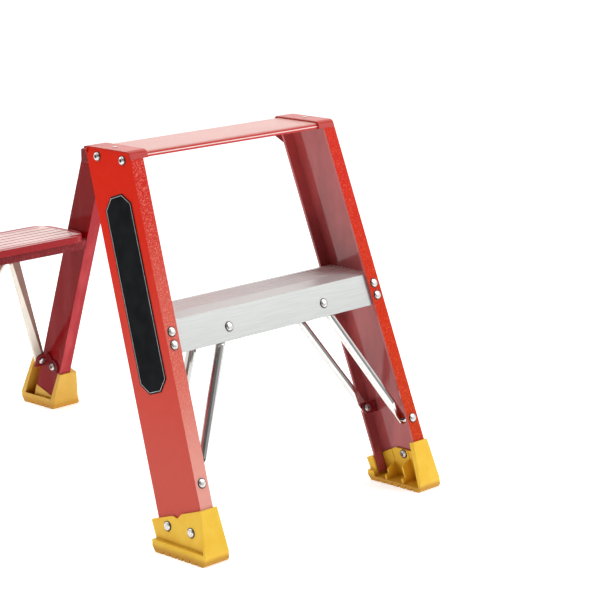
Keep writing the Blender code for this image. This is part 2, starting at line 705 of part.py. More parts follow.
def rear_tread(frame):
    """A level, creased sheet tread with round corners, and the two skirts under its front and back."""
    front = frame.world(0, frame.level(REAR_TREAD_HEIGHT, 0))[0] - REAR_TREAD_FRONT
    rear = front + REAR_TREAD_DEPTH
    half, r = REAR_INNER_HALF - GAP, REAR_TREAD_CORNER
    loop = arc((half - r, rear - r), r, 0, 90, 7) + arc((r - half, rear - r), r, 90, 180, 7)
    loop += arc((r - half, front + r), r, 180, 270, 7) + arc((half - r, front + r), r, 270, 360, 7)
    top, low = REAR_TREAD_HEIGHT, REAR_TREAD_HEIGHT - REAR_TREAD_EDGE
    tread = add_part("rear_tread", outline_mesh("rear_tread", [loop], low, top), "red_sheet")
    pitch = (REAR_TREAD_DEPTH - 2 * REAR_TREAD_BORDER) / (REAR_TREAD_CREASES - 1)
    for i in range(REAR_TREAD_CREASES):
        y = front + REAR_TREAD_BORDER + i * pitch
        reach = half - (r * 0.7 if i in (0, REAR_TREAD_CREASES - 1) else REAR_SKIRT_INSET)
        crease = box_mesh("crease", (-reach, y - REAR_TREAD_CREASE / 2, top - 0.0012),
                          (reach, y + REAR_TREAD_CREASE / 2, top + 0.002))
        cut(tread, add_cutter(f"rear_tread_crease_{i}", crease))
    soften(tread, 0.0020, 2)
    low -= GAP
    for label, y in (("front", front + REAR_SKIRT_INSET),
                     ("rear", rear - REAR_SKIRT_INSET - REAR_SKIRT_WALL)):
        name = "rear_skirt_" + label
        mesh = box_mesh(name, (-half, y, low - REAR_SKIRT_DROP), (half, y + REAR_SKIRT_WALL, low))
        add_part(name, mesh, "dark_red")


def rear_bracket(frame, side):
    """An angle bracket: one leg on the tube's inner face, the other standing in from it to take the brace."""
    name = "rear_bracket_" + side_name(side)
    face, sheet = REAR_INNER_HALF - GAP, BRACKET_SHEET
    back = BRACKET_DEPTH + sheet
    depth, slope = BRACKET_RAIL_BOLT
    outline = [(back, slope - 0.0060), (back, slope + 0.0200), (depth + 0.0110, slope + 0.0150)]
    outline += arc(BRACKET_RAIL_BOLT, BRACKET_ROUND, 60, 180, 6) + [(depth - BRACKET_ROUND, slope - 0.0060)]
    leg = side_prism(name, [outline], *sorted((side * (face - sheet), side * face)))
    bracket = add_part(name, leg, "dark_red", frame.empty)
    x, z = BRACKET_BOLT
    reach = side * (face - sheet / 2)
    tip = [(side * (x + BRACKET_ROUND * math.cos(a)), z + BRACKET_ROUND * math.sin(a))
           for a in (math.radians(50 + 130 * i / 7) for i in range(8))]
    loop = [(reach, slope - 0.0060), (reach, z + 0.0080)] + tip + [(side * (x - BRACKET_ROUND),
                                                                    slope - 0.0060)]
    standing = outline_mesh(name + "_leg", [loop], -back, -BRACKET_DEPTH)
    standing.transform(Matrix.Rotation(math.radians(90), 4, "X"))
    merge(bracket, add_cutter(name + "_leg", standing, frame.empty))
    hand = side_name(side)
    add_head("rear_bolt_upper_" + hand, frame.empty, (side * x, BRACKET_DEPTH, z), (0, -1, 0), "bolt")
    add_head("rear_bolt_lower_" + hand, frame.empty, (side * (face - sheet), *BRACKET_RAIL_BOLT),
             (-side, 0, 0), "bolt")


def rear_brace(frame, side):
    """A flat-ended brace from behind the bracket's standing leg to the tread's underside."""
    depth = BRACKET_DEPTH + BRACKET_SHEET + GAP + BRACE_BAR[1] / 2
    low = Vector((side * BRACKET_BOLT[0], depth, BRACKET_BOLT[1]))
    far = frame.inward(REAR_BRACE_END[1], REAR_BRACE_END[2])
    high = Vector((side * REAR_BRACE_END[0], depth, far[1]))
    length = (high - low).length
    wide, thick = BRACE_BAR
    bar = add_part("rear_brace_" + side_name(side),
                   box_mesh("bar", (-wide / 2, -thick / 2, -0.006),
                            (wide / 2, thick / 2, length)), "galvanised",
                   frame.empty)
    along = (high - low).normalized()
    out = Vector((0, 1, 0))
    bar.matrix_local = Matrix.Translation(low) @ Matrix((out.cross(along), out,
                                                         along)).transposed().to_4x4()
    soften(bar)


def hinge_and_links(rear):
    """A hollow cross tube behind the top tread turns on two pins, and two links tie it to the tall rail."""
    hinge_y = cap_line(0, HEIGHT)[1] + HINGE_SETBACK
    half = front_half(FRONT_LENGTH) - FRONT_FLANGE
    mesh = side_prism("hinge_tube", [round_loop(hinge_y, HINGE_TUBE_RADIUS),
                                     round_loop(hinge_y, HINGE_TUBE_BORE)],
                      -half, half)
    add_part("hinge_tube", mesh, "red_rail")
    for side in (-1, 1):
        hinge_plate(side, hinge_y, half)
    head_y, head_z = rear.world(LINK_HEAD_DEPTH, rear.level(REAR_RIGHT_TOP, LINK_HEAD_DEPTH))
    middle = Vector((REAR_INNER_HALF - GAP - LINK_HEAD[0] / 2, head_y, head_z - LINK_HEAD[2] / 2))
    size = Vector(LINK_HEAD) / 2
    head = add_part("link_head", box_mesh("link_head", middle - size, middle + size), "red_rail")
    soften(head, 0.0020, 2)
    for label, side in (("right", 1), ("cross", -1)):
        start = Vector((side * LINK_START, hinge_y, HINGE_Z))
        link(label, start, middle + Vector((side * LINK_SPREAD, 0, 0)), size)


def round_loop(hinge_y, radius):
    return arc((hinge_y, HINGE_Z), radius, 0, 360 - 360 / HINGE_FACETS, HINGE_FACETS - 1)


def link(label, start, end, head_size):
    """A flat bar that butts against the hinge tube and the head block."""
    name = "link_" + label
    along = (end - start).normalized()
    mesh = box_mesh(name, (-LINK_WIDTH / 2, -LINK_HEIGHT / 2, 0.003),
                    (LINK_WIDTH / 2, LINK_HEIGHT / 2, 0.6))
    item = add_part(name, mesh, "red_rail")
    across = Vector((along.y, -along.x, 0)).normalized()
    item.matrix_local = Matrix.Translation(start) @ Matrix((across, along.cross(across),
                                                            along)).transposed().to_4x4()
    collar = side_prism("collar", [round_loop(start.y, HINGE_TUBE_RADIUS + GAP)], -1, 1)
    cut(item, add_cutter(name + "_collar", collar))
    front = end.y - head_size.y - GAP
    cut(item, add_cutter(name + "_end", box_mesh("end", (-1, front, -1), (1, front + 1, 1))))
    soften(item)


def hinge_plate(side, hinge_y, tube_half):
    """The plate on the back of a front rail that carries the hinge pin, and the pin."""
    hand = side_name(side)
    r = HINGE_TUBE_RADIUS + 0.0010
    back = [(rail_back(z), z) for z in (HINGE_Z + r, HINGE_Z - 2 * r)]
    loop = arc((hinge_y, HINGE_Z), r, -60, 90, 8) + back
    near = tube_half + GAP
    plate = side_prism("hinge_plate", [loop, round_loop(hinge_y, HINGE_TUBE_BORE)],
                       *sorted((side * near, side * (near + HINGE_PLATE))))
    add_part("hinge_plate_" + hand, plate, "galvanised")
    reach = sorted((side * (tube_half - 0.02), side * (near + HINGE_PLATE + 0.0005)))
    pin = side_prism("hinge_pin", [round_loop(hinge_y, HINGE_TUBE_BORE - HINGE_FIT)], *reach)
    add_part("hinge_pin_" + hand, pin, "galvanised", smooth=True)


def build():
    front = Frame("front_frame", FRONT_ORIGIN_Y, FRONT_LEAN)
    axes = {side: front_rail(front, side) for side in (-1, 1)}
    for side, axis in axes.items():
        front_foot(front, axis, side)
    top_tread()
    for side in (-1, 1):
        top_cap(side)
    front_step(front)
    front_braces(front, axes)
    front_fasteners(front, axes)
    side_label(axes[-1])
    rear = Frame("rear_frame", REAR_ORIGIN_Y, REAR_LEAN)
    for side in (-1, 1):
        rear_rail(rear, side)
        rear_foot(rear, side)
        rear_bracket(rear, side)
        rear_brace(rear, side)
    rear_tread(rear)
    hinge_and_links(rear)


clear_scene()
PARTS = new_collection("step_ladder", False)
CUTTERS = new_collection("cutters", True)
build()
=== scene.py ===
"""The looks of the step ladder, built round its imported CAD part: finishes, small trim, floor, light, camera."""

import json
import math

import bmesh
import bpy
from mathutils import Matrix, Vector

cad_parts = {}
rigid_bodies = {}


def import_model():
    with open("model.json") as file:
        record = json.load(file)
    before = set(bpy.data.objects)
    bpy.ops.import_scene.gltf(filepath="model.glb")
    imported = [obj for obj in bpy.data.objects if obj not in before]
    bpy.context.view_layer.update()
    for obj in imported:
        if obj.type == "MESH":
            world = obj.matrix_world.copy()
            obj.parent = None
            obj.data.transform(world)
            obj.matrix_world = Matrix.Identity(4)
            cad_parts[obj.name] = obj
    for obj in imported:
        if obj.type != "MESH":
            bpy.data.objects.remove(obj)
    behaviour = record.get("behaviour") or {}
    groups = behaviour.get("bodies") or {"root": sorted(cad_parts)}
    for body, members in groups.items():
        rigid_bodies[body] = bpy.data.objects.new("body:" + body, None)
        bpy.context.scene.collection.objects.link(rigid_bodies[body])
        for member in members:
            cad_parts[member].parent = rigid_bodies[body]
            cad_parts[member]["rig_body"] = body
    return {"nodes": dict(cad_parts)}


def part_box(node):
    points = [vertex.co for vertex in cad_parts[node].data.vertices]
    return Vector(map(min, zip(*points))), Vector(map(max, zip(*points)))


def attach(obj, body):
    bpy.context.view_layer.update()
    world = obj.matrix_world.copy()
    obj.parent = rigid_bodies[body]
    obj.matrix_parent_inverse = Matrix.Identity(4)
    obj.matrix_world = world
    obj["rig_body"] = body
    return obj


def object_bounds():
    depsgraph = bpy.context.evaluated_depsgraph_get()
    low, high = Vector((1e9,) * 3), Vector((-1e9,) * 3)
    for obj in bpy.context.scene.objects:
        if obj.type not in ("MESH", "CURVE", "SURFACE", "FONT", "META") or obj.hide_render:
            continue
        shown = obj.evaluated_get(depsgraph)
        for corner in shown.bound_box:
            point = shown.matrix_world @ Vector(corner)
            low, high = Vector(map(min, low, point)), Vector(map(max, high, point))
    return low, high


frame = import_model()
CAD_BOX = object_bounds()
NODES = frame["nodes"]

# Camera
CAMERA_PLACE = (-2.3242, -2.6415, 1.1001)
CAMERA_YAW = math.radians(45.935)
CAMERA_PITCH = math.radians(13.14)
CAMERA_ROLL = math.radians(-0.363)
CAMERA_LENS = 131.6

FRONT_LEAN = math.radians(18.8)
OUTWARD_LEFT = (-1, 0, 0)
OUTWARD_RIGHT = (1, 0, 0)
FORWARD = (0, -math.cos(FRONT_LEAN), math.sin(FRONT_LEAN))
UP = (0, 0, 1)

# Studio
WORLD_LIGHT = 0.97
WORLD_SHADE = 0.02
WORLD_NEAR_SIDE = (-0.70, -0.70, 0.0)
FLOOR_HALF = 9.0
FLOOR_GLOW = 0.46
FLOOR_DROP = 0.0002

# Small trim
WASHER_GAP = 1.01
WASHER_REACH = 1.17
WASHER_RISE = 0.0007
SCREW_RADIUS = 0.0040
SCREW_RISE = 0.0016
SCREW_INSET = 0.0150
LABEL_LINE_INSET = 0.0024
LABEL_LINE_RADIUS = 0.00055


class Finish:
    """A node material whose looks are placed in the row frame, so they stay with the part as it moves."""

    def __init__(self, name, roughness, metallic=0.0, coat=0.0, coat_roughness=0.1, specular=0.5):
        self.material = bpy.data.materials.new(name)
        self.material.use_nodes = True
        self.tree = self.material.node_tree
        self.shader = self.tree.nodes["Principled BSDF"]
        settings = {
            "Roughness": roughness,
            "Metallic": metallic,
            "Coat Weight": coat,
            "Coat Roughness": coat_roughness,
            "Specular IOR Level": specular,
        }
        for key, value in settings.items():
            self.shader.inputs[key].default_value = value
        self.places = self.node("ShaderNodeTexCoord")

    def node(self, kind, inputs=None, **settings):
        made = self.tree.nodes.new(kind)
        for key, value in settings.items():
            setattr(made, key, value)
        for key, value in (inputs or {}).items():
            self.set(made.inputs[key], value)
        return made

    def set(self, socket, value):
        if isinstance(value, bpy.types.NodeSocket):
            self.tree.links.new(value, socket)
        else:
            socket.default_value = value

    def position(self, scale=(1, 1, 1)):
        mapped = self.node("ShaderNodeMapping", {"Vector": self.places.outputs["Object"], "Scale": scale})
        return mapped.outputs[0]

    def axis(self, name):
        split = self.node("ShaderNodeSeparateXYZ", {0: self.places.outputs["Object"]})
        return split.outputs[name]

    def facing(self, direction):
        """How far the surface faces a direction, from -1 to 1."""
        dot = self.node("ShaderNodeVectorMath", {0: self.places.outputs["Normal"], 1: direction},
                        operation="DOT_PRODUCT")
        return dot.outputs["Value"]

    def between(self, value, low, high):
        """0 at low and 1 at high, smooth in between."""
        span = {"Value": value, "From Min": low, "From Max": high}
        return self.node("ShaderNodeMapRange", span, interpolation_type="SMOOTHSTEP").outputs[0]

    def math(self, operation, a, b=0.0):
        return self.node("ShaderNodeMath", {0: a, 1: b}, operation=operation, use_clamp=True).outputs[0]

    def inverse(self, value):
        return self.node("ShaderNodeMath", {0: value, 1: -1.0}, operation="MULTIPLY").outputs[0]

    def depth(self):
        """Distance behind the front rails' rear faces, negative inside the rails."""
        heel = min((v.co for v in NODES["front_rail_left"].data.vertices), key=lambda co: co.z)
        across = (0, math.cos(FRONT_LEAN), -math.sin(FRONT_LEAN))
        start = {0: self.places.outputs["Object"], 1: (0, heel.y, heel.z)}
        arm = self.node("ShaderNodeVectorMath", start, operation="SUBTRACT").outputs[0]
        return self.node("ShaderNodeVectorMath", {0: arm, 1: across},
                         operation="DOT_PRODUCT").outputs["Value"]

    def noise(self, scale, detail=3.0, stretch=(1, 1, 1)):
        spot = {"Vector": self.position(stretch), "Scale": scale, "Detail": detail}
        return self.node("ShaderNodeTexNoise", spot).outputs["Fac"]

    def cells(self, scale):
        spot = {"Vector": self.position(), "Scale": scale}
        return self.node("ShaderNodeTexVoronoi", spot, feature="SMOOTH_F1").outputs["Distance"]

    def mix(self, amount, a, b):
        mixed = self.node("ShaderNodeMix", data_type="RGBA")
        sockets = [s for s in mixed.inputs if s.type == "RGBA"]
        self.set(mixed.inputs[0], amount)
        for socket, value in zip(sockets, (a, b)):
            self.set(socket, value if isinstance(value, bpy.types.NodeSocket) else (*value, 1))
        return next(s for s in mixed.outputs if s.type == "RGBA")

    def colour(self, value):
        self.set(self.shader.inputs["Base Color"], value)

    def rough(self, value, low, high):
        span = {"Value": value, "To Min": low, "To Max": high}
        self.set(self.shader.inputs["Roughness"], self.node("ShaderNodeMapRange", span).outputs[0])

    def bump(self, height, distance, strength=1.0):
        spot = {"Height": height, "Distance": distance, "Strength": strength}
        self.set(self.shader.inputs["Normal"], self.node("ShaderNodeBump", spot).outputs[0])

    def occlusion(self, distance):
        return self.node("ShaderNodeAmbientOcclusion", {"Distance": distance}, samples=8).outputs["AO"]


def wear(item, colour, light, amount=0.35, scale=60):
    """The same colour a little lighter in soft patches, so a broad face is never one flat tone."""
    patch = item.between(item.noise(scale, 4.0), 0.45, 0.75)
    return item.mix(item.math("MULTIPLY", patch, amount), colour, light)


def rail_finish(name, outward, flange_low, flange_middle, painted_glint):
    """Baked enamel: a smooth orange-red web whose paling downwards is a painted reflection, hammered flanges with
    painted glints and a painted reflection that changes with height, and an inner web darkened as painted shade.
    """
    item = Finish(name, 0.30, coat_roughness=0.05, specular=0.06)
    # Painted reflection: the web pales from orange-red at the top to salmon near the foot, standing in for the
    # white floor mirrored in the gloss.
    height = item.between(item.axis("Z"), 0.06, 0.52)
    web = item.mix(height, (0.66, 0.105, 0.080), (0.76, 0.016, 0.001))
    # Painted highlight: bright glints in small spots on the flanges, standing in for light caught by the hammered
    # paint.
    painted_glint_spots = item.between(item.noise(420, 2.0), 0.50, 0.66)
    # Painted reflection: the flange colour changes with height, paler low down on the left rail.
    flange = item.mix(item.between(item.axis("Z"), 0.10, 0.30), flange_low, flange_middle)
    flange = item.mix(item.between(item.axis("Z"), 0.30, 0.54), flange, (0.66, 0.012, 0.002))
    flange = item.mix(item.math("MULTIPLY", painted_glint_spots, 0.42), flange, painted_glint)
    # Painted shade: the inner web and the flange faces inside the channel are darkened, standing in for shade
    # inside the rail.
    inner = item.mix(item.between(item.noise(14, 3.0, (1, 1, 0.35)), 0.35, 0.7), (0.36, 0.070, 0.074),
                     (0.58, 0.125, 0.124))
    side = item.facing(outward)
    depth = item.depth()
    inside = item.math("MULTIPLY", item.between(depth, -0.014, -0.008),
                       item.between(item.facing(FORWARD), 0.3, 0.6))
    flange = item.mix(inside, flange, inner)
    colour = item.mix(item.between(side, 0.3, 0.75), flange, web)
    painted_shade_hollow = item.between(item.inverse(side), 0.3, 0.75)
    colour = item.mix(painted_shade_hollow, colour, inner)
    item.set(item.shader.inputs["Coat Weight"], painted_shade_hollow)
    item.colour(wear(item, colour, (0.80, 0.12, 0.08), 0.06))
    item.bump(item.cells(420), 0.00035, 0.55)
    return item.material


def tread_finish(name, top):
    """Glossy enamel sheet: saturated red on its lips, made pale as painted reflection where it faces up, with a
    painted highlight line at the bend.
    """
    item = Finish(name, 0.28, coat=0.06, coat_roughness=0.08, specular=0.15)
    # Painted reflection: faces turned up get a pale pink in place of the red enamel.
    face = item.between(item.facing(UP), 0.5, 0.9)
    sheen = item.between(item.noise(9, 2.0, (0.3, 1, 1)), 0.3, 0.7)
    pale = item.mix(sheen, (0.70, 0.35, 0.31), (0.78, 0.45, 0.41))
    # Painted highlight: a thin bright band just below the top of the front edge.
    above = item.between(item.axis("Z"), top - 0.0062, top - 0.0056)
    below = item.between(item.axis("Z"), top - 0.0042, top - 0.0048)
    lip_and_painted_highlight = item.mix(item.math("MULTIPLY", above, below), (0.56, 0.010, 0.005), (0.98, 0.74, 0.70))
    item.colour(item.mix(face, lip_and_painted_highlight, wear(item, pale, (0.90, 0.66, 0.62), 0.2, 120)))
    item.bump(item.cells(500), 0.0002, 0.35)
    return item.material


def cap_finish(name, top):
    item = Finish(name, 0.24, coat=0.08, coat_roughness=0.06, specular=0.15)
    # Painted reflection: faces turned up get the lighter top colour.
    face = item.between(item.facing(UP), 0.5, 0.9)
    # Painted highlight: a pale line along the top edge of the sides.
    side = item.mix(item.between(item.axis("Z"), top - 0.0018, top - 0.0006), (0.52, 0.014, 0.006),
                    (0.92, 0.50, 0.44))
    painted_sheen_crown = item.mix(item.between(item.noise(30, 2.0), 0.3, 0.7), (0.54, 0.075, 0.060), (0.64, 0.13, 0.105))
    item.colour(item.mix(face, side, painted_sheen_crown))
    item.bump(item.cells(500), 0.0002, 0.3)
    return item.material


def aluminium_finish(name):
    """Drawn aluminium: fine lines along the length, with a satin sheen and its top face painted lighter as
    painted light.
    """
    item = Finish(name, 0.38, metallic=0.55)
    lines = item.noise(60, 4.0, (0.25, 14, 14))
    colour = item.mix(item.between(lines, 0.3, 0.7), (0.46, 0.47, 0.46), (0.53, 0.54, 0.53))
    # Painted light: the face turned up is lighter than the sides.
    painted_light_upward = item.between(item.facing(UP), 0.5, 0.9)
    item.colour(item.mix(painted_light_upward, colour, item.mix(lines, (0.60, 0.60, 0.59), (0.76, 0.76, 0.75))))
    item.rough(lines, 0.30, 0.48)
    item.bump(lines, 0.00008, 0.4)
    return item.material


def steel_finish(name, roughness=0.10, tint=(0.74, 0.74, 0.72)):
    """Polished plated steel with a few dull spots."""
    item = Finish(name, roughness, metallic=1.0)
    spots = item.between(item.noise(90, 4.0), 0.5, 0.75)
    item.colour(item.mix(item.math("MULTIPLY", spots, 0.4), tint, tuple(c * 0.72 for c in tint)))
    item.rough(item.noise(160, 3.0), roughness * 0.8, roughness * 1.6)
    return item.material


def fastener_finish(name):
    item = Finish(name, 0.24, metallic=0.9)
    # Painted shade: dark colour where occlusion finds a recess, at the foot of each head and in its hollows.
    dark = item.between(item.occlusion(0.003), 0.35, 0.85)
    colour = item.mix(item.between(item.noise(300, 3.0), 0.4, 0.7), (0.72, 0.72, 0.69), (0.56, 0.55, 0.52))
    item.colour(item.mix(dark, (0.10, 0.07, 0.06), colour))
    item.rough(item.noise(500, 2.0), 0.18, 0.36)
    return item.material


def dark_red_finish(name):
    item = Finish(name, 0.30, specular=0.12)
    tone = item.between(item.noise(25, 3.0), 0.3, 0.7)
    item.colour(wear(item, item.mix(tone, (0.17, 0.010, 0.014), (0.27, 0.022, 0.026)), (0.48, 0.16, 0.16),
                     0.2, 200))
    item.bump(item.cells(450), 0.0002, 0.4)
    return item.material


def rear_rail_finish(name):
    """Dark crimson sides and a lighter, pinker front face, one enamel with painted shade on the sides and painted
    light on the front, with soft grey streaks.
    """
    item = Finish(name, 0.26, coat=0.18, coat_roughness=0.05, specular=0.05)
    streak = item.between(item.noise(30, 3.0, (1, 1, 0.12)), 0.45, 0.7)
    side = item.mix(item.math("MULTIPLY", streak, 0.4), (0.24, 0.0006, 0.002), (0.32, 0.030, 0.036))
    front = item.mix(streak, (0.40, 0.024, 0.032), (0.54, 0.060, 0.066))
    # Painted light: faces turned along the Y axis are lighter and pinker than the sides, which carry painted
    # shade.
    front_back_painted_light = item.math("MULTIPLY", item.facing((0, 1, 0)), item.facing((0, 1, 0)))
    item.colour(item.mix(item.between(front_back_painted_light, 0.3, 0.7), side, front))
    item.bump(item.cells(450), 0.0002, 0.4)
    return item.material


def rear_tread_finish(name, low, high):
    """A ribbed panel inside a crimson border, its top made pale as painted reflection, with a thin white rim as
    painted highlight.
    """
    item = Finish(name, 0.28, coat=0.08, coat_roughness=0.08, specular=0.15)
    x = item.axis("X")
    y = item.axis("Y")
    far = [item.node("ShaderNodeMath", {0: edge[0], 1: edge[1]}, operation="SUBTRACT").outputs[0]
           for edge in ((x, low.x), (high.x, x), (y, low.y), (high.y, y))]
    near = far[0]
    for other in far[1:]:
        near = item.node("ShaderNodeMath", {0: near, 1: other}, operation="MINIMUM").outputs[0]
    # Painted reflection: the pale pink tone of the panel facing up.
    tone = item.mix(item.between(item.noise(12, 2.0), 0.3, 0.7), (0.80, 0.53, 0.50), (0.88, 0.64, 0.61))
    panel = item.mix(item.between(near, 0.010, 0.013), (0.40, 0.020, 0.026), tone)
    # Painted highlight: a thin white line just inside the edge.
    rim = item.mix(item.between(near, 0.0008, 0.0018), (0.90, 0.76, 0.74), panel)
    face = item.between(item.facing(UP), 0.4, 0.8)
    item.colour(item.mix(face, (0.36, 0.008, 0.014), rim))
    item.bump(item.cells(500), 0.0002, 0.35)
    return item.material


def foot_finish(name, body, light):
    """Moulded yellow plastic, ochre in the painted shade of its pockets, with a fine grain."""
    item = Finish(name, 0.42, specular=0.25)
    grain = item.noise(700, 2.0)
    base = item.mix(item.between(item.noise(35, 3.0), 0.35, 0.7), body, light)
    # Painted shade: ochre where occlusion finds the pockets and recesses.
    outside_painted_shade = item.between(item.occlusion(0.022), 0.25, 0.95)
    # Painted shade: a darker ochre band along the bottom of the sole, near the floor.
    low = item.between(item.axis("Z"), 0.004, 0.014)
    base = item.mix(low, (0.62, 0.30, 0.035), base)
    item.colour(item.mix(outside_painted_shade, (0.60, 0.30, 0.006), base))
    item.rough(grain, 0.34, 0.52)
    item.bump(grain, 0.0001, 0.5)
    return item.material


def label_finish(name):
    item = Finish(name, 0.40, specular=0.03)
    tone = item.between(item.noise(40, 3.0), 0.3, 0.7)
    item.colour(item.mix(tone, (0.004, 0.005, 0.006), (0.010, 0.011, 0.012)))
    item.rough(item.noise(600, 2.0), 0.30, 0.46)
    return item.material


def bar_finish(name, low, high):
    """A polished bar with painted reflections: cream along one edge and brown along the other, mirrored from side
    to side.
    """
    item = Finish(name, 0.26, metallic=0.35)
    middle = (low + high) / 2
    across = Vector((high.z - low.z, 0, high.x - low.x)).normalized()
    arm = item.node("ShaderNodeVectorMath", {0: item.places.outputs["Object"]},
                    operation="ABSOLUTE").outputs[0]
    arm = item.node("ShaderNodeVectorMath", {0: arm, 1: middle}, operation="SUBTRACT").outputs[0]
    offset = item.node("ShaderNodeVectorMath", {0: arm, 1: across},
                       operation="DOT_PRODUCT").outputs["Value"]
    grain = item.noise(50, 3.0, (1, 1, 0.1))
    # Painted reflection: the cream half stands for a bright reflection, the brown half for a dark one.
    cream = item.mix(grain, (0.70, 0.66, 0.56), (0.82, 0.79, 0.70))
    brown = item.mix(grain, (0.16, 0.070, 0.050), (0.26, 0.13, 0.10))
    item.colour(item.mix(item.between(offset, -0.0010, 0.0010), cream, brown))
    item.bump(grain, 0.0001, 0.3)
    return item.material


def plain_finish(name, dark, light, roughness, metallic=0.0):
    item = Finish(name, roughness, metallic=metallic)
    item.colour(item.mix(item.between(item.noise(200, 3.0), 0.35, 0.7), dark, light))
    return item.material


def dress(material, *starts):
    """Gives a material to every CAD node whose name starts with one of these."""
    for name, node in NODES.items():
        if name.startswith(starts):
            node.data.materials.clear()
            node.data.materials.append(material)


def add_piece(name, mesh, material, body):
    piece = bpy.data.objects.new(name, mesh)
    bpy.context.scene.collection.objects.link(piece)
    piece.data.materials.append(material)
    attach(piece, body)
    return piece


def turned(name, profile, place, direction, segments=24):
    """A mesh of an outline (radius, height) turned about an axis through place, along direction."""
    mesh = bpy.data.meshes.new(name)
    shape = bmesh.new()
    turn = Vector(direction).normalized().to_track_quat("Z", "X").to_matrix()
    rings = []
    for radius, height in profile:
        ring = []
        for i in range(segments if radius else 1):
            angle = math.tau * i / segments
            spot = turn @ Vector((radius * math.cos(angle), radius * math.sin(angle), height))
            ring.append(shape.verts.new(Vector(place) + spot))
        rings.append(ring)
    for below, above in zip(rings, rings[1:]):
        for i in range(segments):
            j = (i + 1) % segments
            corners = [below[i % len(below)], below[j % len(below)], above[j % len(above)],
                       above[i % len(above)]]
            face = list(dict.fromkeys(corners))
            if len(face) > 2:
                shape.faces.new(face).smooth = True
    bmesh.ops.recalc_face_normals(shape, faces=shape.faces)
    shape.to_mesh(mesh)
    shape.free()
    return mesh


def flat_axis(node):
    """The middle of a small round head and the direction it points, away from its fixed side."""
    points = [v.co.copy() for v in NODES[node].data.vertices]
    middle = sum(points, Vector()) / len(points)
    spread = Matrix(((0,) * 3,) * 3)
    for point in points:
        arm = point - middle
        spread += Matrix([[a * b for b in arm] for a in arm])
    inverse = (spread + Matrix.Identity(3) * spread[0][0] * 1e-6).inverted()
    axis = Vector((0.3, 0.5, 0.8))
    for _ in range(40):
        axis = (inverse @ axis).normalized()
    heights = [(p - middle).dot(axis) for p in points]
    radii = [((p - middle) - axis * h).length for p, h in zip(points, heights)]
    radius = max(radii)
    broad = [h for h, r in zip(heights, radii) if r > radius * 0.97]
    if sum(broad) / len(broad) > (max(heights) + min(heights)) / 2:
        axis, heights = -axis, [-h for h in heights]
    return middle + axis * min(heights), axis, radius


def washers():
    """A thin dark ring round the foot of each rivet and bolt head."""
    ring = plain_finish("washer_dark", (0.050, 0.030, 0.028), (0.10, 0.060, 0.055), 0.45)
    for name in sorted(NODES):
        if "rivet" not in name and "bolt" not in name:
            continue
        place, axis, radius = flat_axis(name)
        inner, outer = radius * WASHER_GAP, radius * WASHER_REACH
        profile = [(inner, 0.0), (outer, 0.0), (outer * 0.985, WASHER_RISE * 0.86), (inner, WASHER_RISE),
                   (inner, 0.0)]
        body = NODES[name]["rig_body"]
        add_piece("washer_" + name, turned("washer_" + name, profile, place, axis), ring, body)


def top_screws(steel):
    """One small pan-head screw on each end cap, in from its outer edge."""
    for side in ("left", "right"):
        low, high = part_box("top_cap_" + side)
        outer = low.x if side == "left" else high.x
        inward = 1 if side == "left" else -1
        place = Vector((outer + inward * SCREW_INSET, (low.y + high.y) / 2, high.z - 0.0002))
        radius, rise = SCREW_RADIUS, SCREW_RISE
        dome = [(radius * math.cos(a), rise * (0.35 + 0.65 * math.sin(a))) for a in (0.2, 0.6, 1.0)]
        slot_walls = [(0.0015, rise * 0.96), (0.0013, rise * 0.4), (0.0, rise * 0.3)]
        profile = [(0.0, 0.0), (radius, 0.0), (radius, rise * 0.35)] + dome + slot_walls
        name = "top_screw_" + side
        add_piece(name, turned(name, profile, place, UP), steel, "front_frame")


def outline(name, node, direction, inset, thickness):
    """A thin closed bead along the edge of a flat plate, set in from its corners."""
    outward = Vector(direction)
    broad = max(NODES[node].data.polygons, key=lambda f: f.area * (f.normal.dot(outward) > 0))
    face = broad.normal.copy()
    points = [v.co.copy() for v in NODES[node].data.vertices]
    height = max(p.dot(face) for p in points)
    flat = [p for p in points if height - p.dot(face) < 0.0002]
    middle = sum(flat, Vector()) / len(flat)
    across = face.cross(Vector(UP)).normalized()
    along = face.cross(across)
    corners = []
    for point in flat:
        if all((point - kept).length > 0.001 for kept in corners):
            corners.append(point)
    corners.sort(key=lambda p: math.atan2((p - middle).dot(along), (p - middle).dot(across)))
    inner = []
    for i, corner in enumerate(corners):
        before = (corners[i - 1] - corner).normalized()
        after = (corners[(i + 1) % len(corners)] - corner).normalized()
        half = (before + after).normalized()
        inner.append(corner + half * inset / max(0.2, half.cross(before).length))
    curve = bpy.data.curves.new(name, "CURVE")
    curve.dimensions = "3D"
    curve.bevel_depth = thickness
    curve.bevel_resolution = 1
    line = curve.splines.new("POLY")
    line.points.add(len(inner) - 1)
    for point, spot in zip(line.points, inner):
        point.co = (*(spot + face * thickness * 0.1), 1)
    line.use_cyclic_u = True
    return curve


